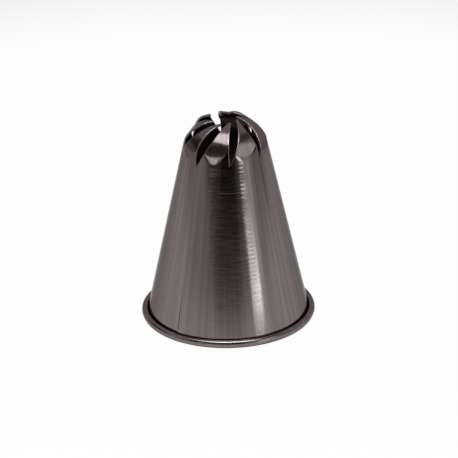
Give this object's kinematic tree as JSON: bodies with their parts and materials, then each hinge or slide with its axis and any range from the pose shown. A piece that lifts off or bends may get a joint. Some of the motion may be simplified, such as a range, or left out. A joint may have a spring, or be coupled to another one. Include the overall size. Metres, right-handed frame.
{
  "type": "piping nozzle",
  "caption": "Conical steel pastry tube with an outward rolled rim, a welded side seam and twisted, curled-in teeth round an open star mouth.",
  "frame": {"origin": "centre of the wide rim's resting plane, on the tube's axis", "axes": "+Z along the tube's axis from the wide rim to the toothed mouth, -Y towards the side that the picture shows"},
  "size_m": [0.04, 0.04, 0.0487],
  "materials": {
    "body_steel": "turned and brushed round the cone, polished on the teeth and the rim",
    "weld_steel": "ground nearly flush and brushed with the wall"
  },
  "bodies": {
    "root": {"nozzle_body": "body_steel", "seam_weld": "weld_steel"}
  },
  "joints": []
}
